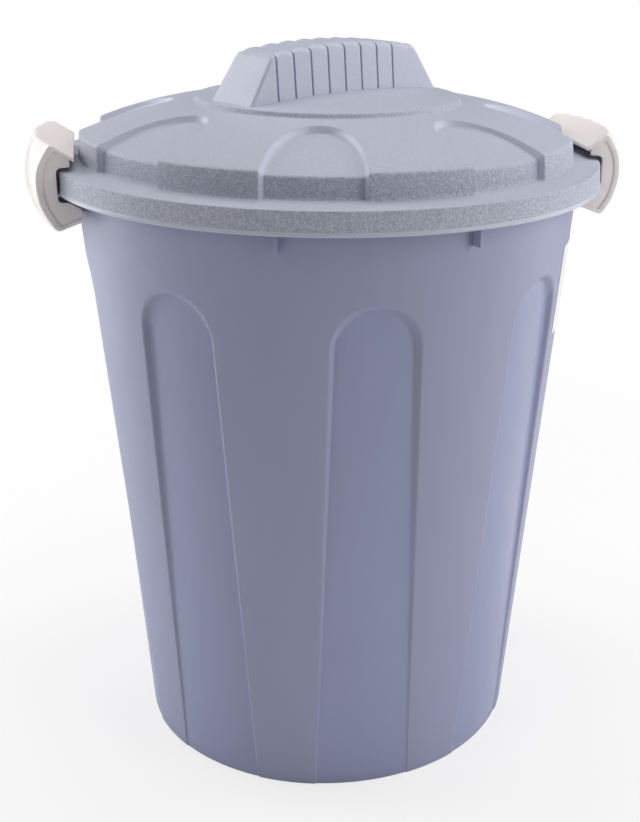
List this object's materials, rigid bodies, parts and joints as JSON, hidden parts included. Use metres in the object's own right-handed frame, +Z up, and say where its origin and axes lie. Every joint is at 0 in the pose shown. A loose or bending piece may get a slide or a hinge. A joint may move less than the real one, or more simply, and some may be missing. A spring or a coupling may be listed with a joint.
{
  "type": "lidded waste bin",
  "caption": "Tall conical plastic waste bin with sunk arched panels, a domed lift-off lid with a ridged grip, and wide locking handles hinged under the rim.",
  "frame": {"origin": "centre of the base, on the surface that the bin stands on", "axes": "+Z up along the tub's axis, -Y towards the front panel between the two ribs, +X towards the right locking handle"},
  "size_m": [0.4874, 0.45, 0.5983],
  "materials": {
    "tub_plastic": "satin injection-moulded polypropylene, periwinkle blue-grey",
    "lid_plastic": "finely grained matt polypropylene, blue-grey",
    "handle_plastic": "smooth white polypropylene",
    "label_paper": "blank white sticker"
  },
  "bodies": {
    "tub_body": {"tub": "tub_plastic", "label": "label_paper"},
    "lid_body": {"lid": "lid_plastic"},
    "handle_left_body": {"handle_left": "handle_plastic"},
    "handle_right_body": {"handle_right": "handle_plastic"}
  },
  "joints": [
    {"name": "lid_lift", "type": "slide", "parent": "tub_body", "child": "lid_body", "axis": [0, 0, 1], "range_m": [0, 0.025]},
    {"name": "handle_left_hinge", "type": "hinge", "parent": "tub_body", "child": "handle_left_body", "pos_m": [-0.2185, 0, 0.474], "axis": [0, -1, 0], "range_deg": [0, 80]},
    {"name": "handle_right_hinge", "type": "hinge", "parent": "tub_body", "child": "handle_right_body", "pos_m": [0.2185, 0, 0.474], "axis": [0, 1, 0], "range_deg": [0, 80]}
  ],
  "couplings": [
    {"joint": "handle_left_hinge", "follows": "lid_lift", "rad_per_m": 55.85},
    {"joint": "handle_right_hinge", "follows": "lid_lift", "rad_per_m": 55.85}
  ]
}
